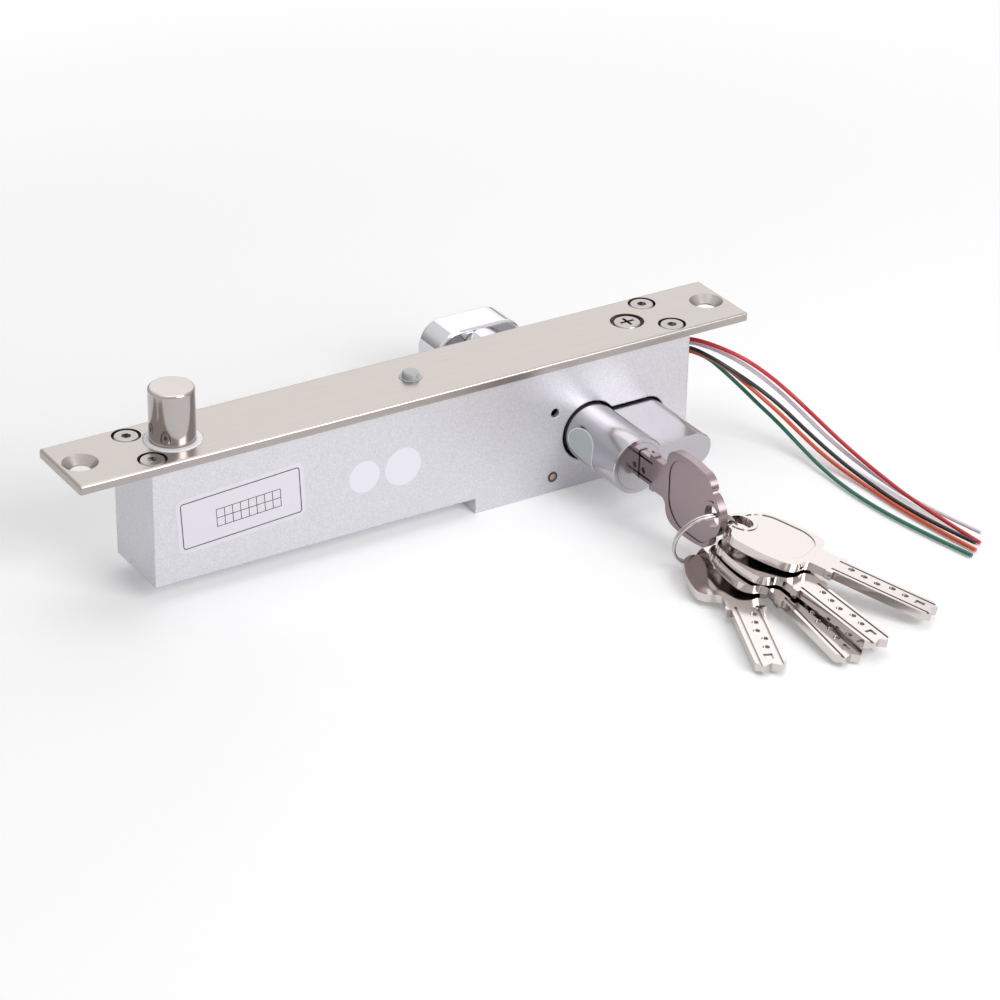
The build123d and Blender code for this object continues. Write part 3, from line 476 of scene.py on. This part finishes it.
def thicken(bm, faces, depth):
    """Gives flat faces a thickness towards the front, in millimetres."""
    made = bmesh.ops.extrude_face_region(bm, geom=faces)
    raised = [item for item in made["geom"] if isinstance(item, bmesh.types.BMVert)]
    bmesh.ops.translate(bm, vec=(0, -depth * MM, 0), verts=raised)


def add_bar(bm, x, z, width, height, depth):
    """A thin printed bar with its middle at x and z, in millimetres, its back on the sheet."""
    place = Matrix.Translation(Vector((x, -depth / 2, z)) * MM)
    size = Matrix.Diagonal(Vector((width, depth, height, 1 / MM)) * MM)
    bmesh.ops.create_cube(bm, size=1, matrix=place @ size)


def place_label(bm, back):
    """Puts a label's mesh at its place on the front of the case, a little askew."""
    tilt = Matrix.Rotation(-math.radians(LABEL_TILT), 4, "Y")
    x, z = LABEL_MIDDLE
    bmesh.ops.transform(bm, matrix=Matrix.Translation(Vector((x, back, z)) * MM) @ tilt, verts=bm.verts)


def make_label(ink, film):
    """The label place: a pale film with rounded corners, a printed frame and an empty grid."""
    bm = bmesh.new()
    sheet = rounded_sheet(bm, LABEL_WIDTH + 2 * LABEL_MARGIN, LABEL_HEIGHT + 2 * LABEL_MARGIN,
                          LABEL_ROUND + LABEL_MARGIN)
    thicken(bm, [sheet], FILM)
    place_label(bm, CASE_FRONT)
    new_piece("label_film", bm, film)

    bm = bmesh.new()
    sheet = rounded_sheet(bm, LABEL_WIDTH, LABEL_HEIGHT, LABEL_ROUND)
    bmesh.ops.inset_region(bm, faces=[sheet], thickness=LABEL_LINE * MM,
                           use_boundary=True, use_even_offset=True)
    bmesh.ops.delete(bm, geom=[sheet], context="FACES")
    thicken(bm, bm.faces[:], INK)
    middle_x, middle_z = GRID_MIDDLE
    for column in range(GRID_COLUMNS + 1):
        x = middle_x + GRID_WIDTH * (column / GRID_COLUMNS - 0.5)
        add_bar(bm, x, middle_z, GRID_LINE, GRID_HEIGHT + GRID_LINE, INK)
    for row in range(GRID_ROWS + 1):
        z = middle_z + GRID_HEIGHT * (row / GRID_ROWS - 0.5)
        add_bar(bm, middle_x, z, GRID_WIDTH, GRID_LINE, INK)
    place_label(bm, CASE_FRONT - FILM)
    new_piece("label_print", bm, ink)


def make_round_stickers(paper):
    """Two blank round stickers, cut from white vinyl."""
    turn = Matrix.Rotation(math.pi / 2, 4, "X")
    for name, (x, z, radius) in ROUND_STICKERS.items():
        bm = bmesh.new()
        place = Matrix.Translation(Vector((x, CASE_FRONT - FILM / 2, z)) * MM)
        bmesh.ops.create_cone(bm, cap_ends=True, segments=64, radius1=radius * MM, radius2=radius * MM,
                              depth=FILM * MM, matrix=place @ turn)
        new_piece(name, bm, paper)


def make_drop_sticker(film, edge):
    """A plain teardrop sticker that lies round the barrel."""
    bm = bmesh.new()
    bmesh.ops.create_uvsphere(bm, u_segments=48, v_segments=24, radius=1)
    bmesh.ops.bisect_plane(bm, geom=bm.verts[:] + bm.edges[:] + bm.faces[:], plane_co=(0, 0, 0),
                           plane_no=(0, 0, -1), clear_outer=True)
    for face in bm.faces:
        middle = face.calc_center_median()
        face.material_index = int(math.hypot(middle.x, middle.y) > DROP_EDGE)
    tip = Vector((DROP_TIP[0] - DROP_HEAD[0], DROP_TIP[1] - DROP_HEAD[1]))
    radius = BARREL_R + DROP_LIFT
    for vert in bm.verts:
        flat = Vector((vert.co.x * DROP_SIZE[0], vert.co.y * DROP_SIZE[1]))
        reach = min(1.0, math.hypot(vert.co.x, vert.co.y))
        towards = max(0.0, flat.dot(tip) / (flat.length * tip.length)) if flat.length else 0.0
        flat = flat.lerp(tip * reach, towards ** DROP_POINT)
        turn = (DROP_HEAD[1] + flat.y) / BARREL_R
        vert.co = Vector((radius * math.cos(turn), DROP_HEAD[0] + flat.x,
                          AXIS_Z + radius * math.sin(turn))) * MM
    bmesh.ops.recalc_face_normals(bm, faces=bm.faces)
    axis = Vector((0, 0, AXIS_Z)) * MM
    outward = sum(face.normal.dot(face.calc_center_median() - axis) for face in bm.faces)
    if outward < 0:
        bmesh.ops.reverse_faces(bm, faces=bm.faces)
    bmesh.ops.solidify(bm, geom=bm.faces[:], thickness=-FILM * MM)
    piece = new_piece("sticker_drop", bm, film)
    piece.data.materials.append(edge)


def make_wires(materials):
    """Each free wire as a smooth curve by the same points as the solid that it stands for."""
    for name, (length, slot, points) in WIRES.items():
        data = bpy.data.curves.new(name + "_lead", "CURVE")
        data.dimensions = "3D"
        data.bevel_depth = WIRE_R * MM
        data.bevel_resolution = 4
        data.use_fill_caps = True
        line = data.splines.new("NURBS")
        line.points.add(len(points) - 1)
        for point, place in zip(line.points, points):
            point.co = (*(Vector(place) * MM), 1)
        line.order_u = 3
        line.use_endpoint_u = True
        line.resolution_u = 12
        data.materials.append(materials[slot])
        lead = bpy.data.objects.new(name + "_lead", data)
        bpy.context.scene.collection.objects.link(lead)
        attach(lead, "lock")
        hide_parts(name)


def dress_nodes(frame, materials):
    """Every solid of the part takes the finish of its slot."""
    for row in frame["record"]["subparts"]:
        node = frame["nodes"][row["node"]]
        node.data.materials.clear()
        node.data.materials.append(materials[row["material_slot"]])


def flatten_spring(frame):
    """Gives the return spring a mesh of its own; the spring shortens as the bolt goes down, which is not done
    here.
    """
    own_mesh(frame["nodes"]["return_spring"])


def main():
    bpy.context.scene.view_settings.view_transform = "Standard"
    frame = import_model()
    make_camera()
    make_world()
    make_floor()
    for name, (place, size, power) in LAMPS.items():
        make_lamp(name, place, size, power)
    materials = make_materials()
    dress_nodes(frame, materials)
    frame["nodes"]["case_rivet"].data.materials[0] = rivet_metal()
    # The key in the lock takes a duller, darker, mauve copy of the key nickel: painted shade.
    frame["nodes"]["key_in_lock"].data.materials[0] = grained_metal_with_painted_shade(
        "shaded_key_nickel", "#938387", "#9F8F92", 0.2, 0.3, 0.5, (1, 1, 1), 0.0015)
    ink = smooth_plastic("dark_grey_print", "#3A363C", 0.5)
    film = smooth_plastic("pale_label_film", "#E2DEE6", 0.35)
    paper = smooth_plastic("white_vinyl", "#E9E7EE", 0.35)
    drop = smooth_plastic("green_grey_foil", "#BFC9C5", 0.25)
    make_label(ink, film)
    make_drop_sticker(drop, paper)
    make_round_stickers(paper)
    make_wires(materials)
    flatten_spring(frame)


main()
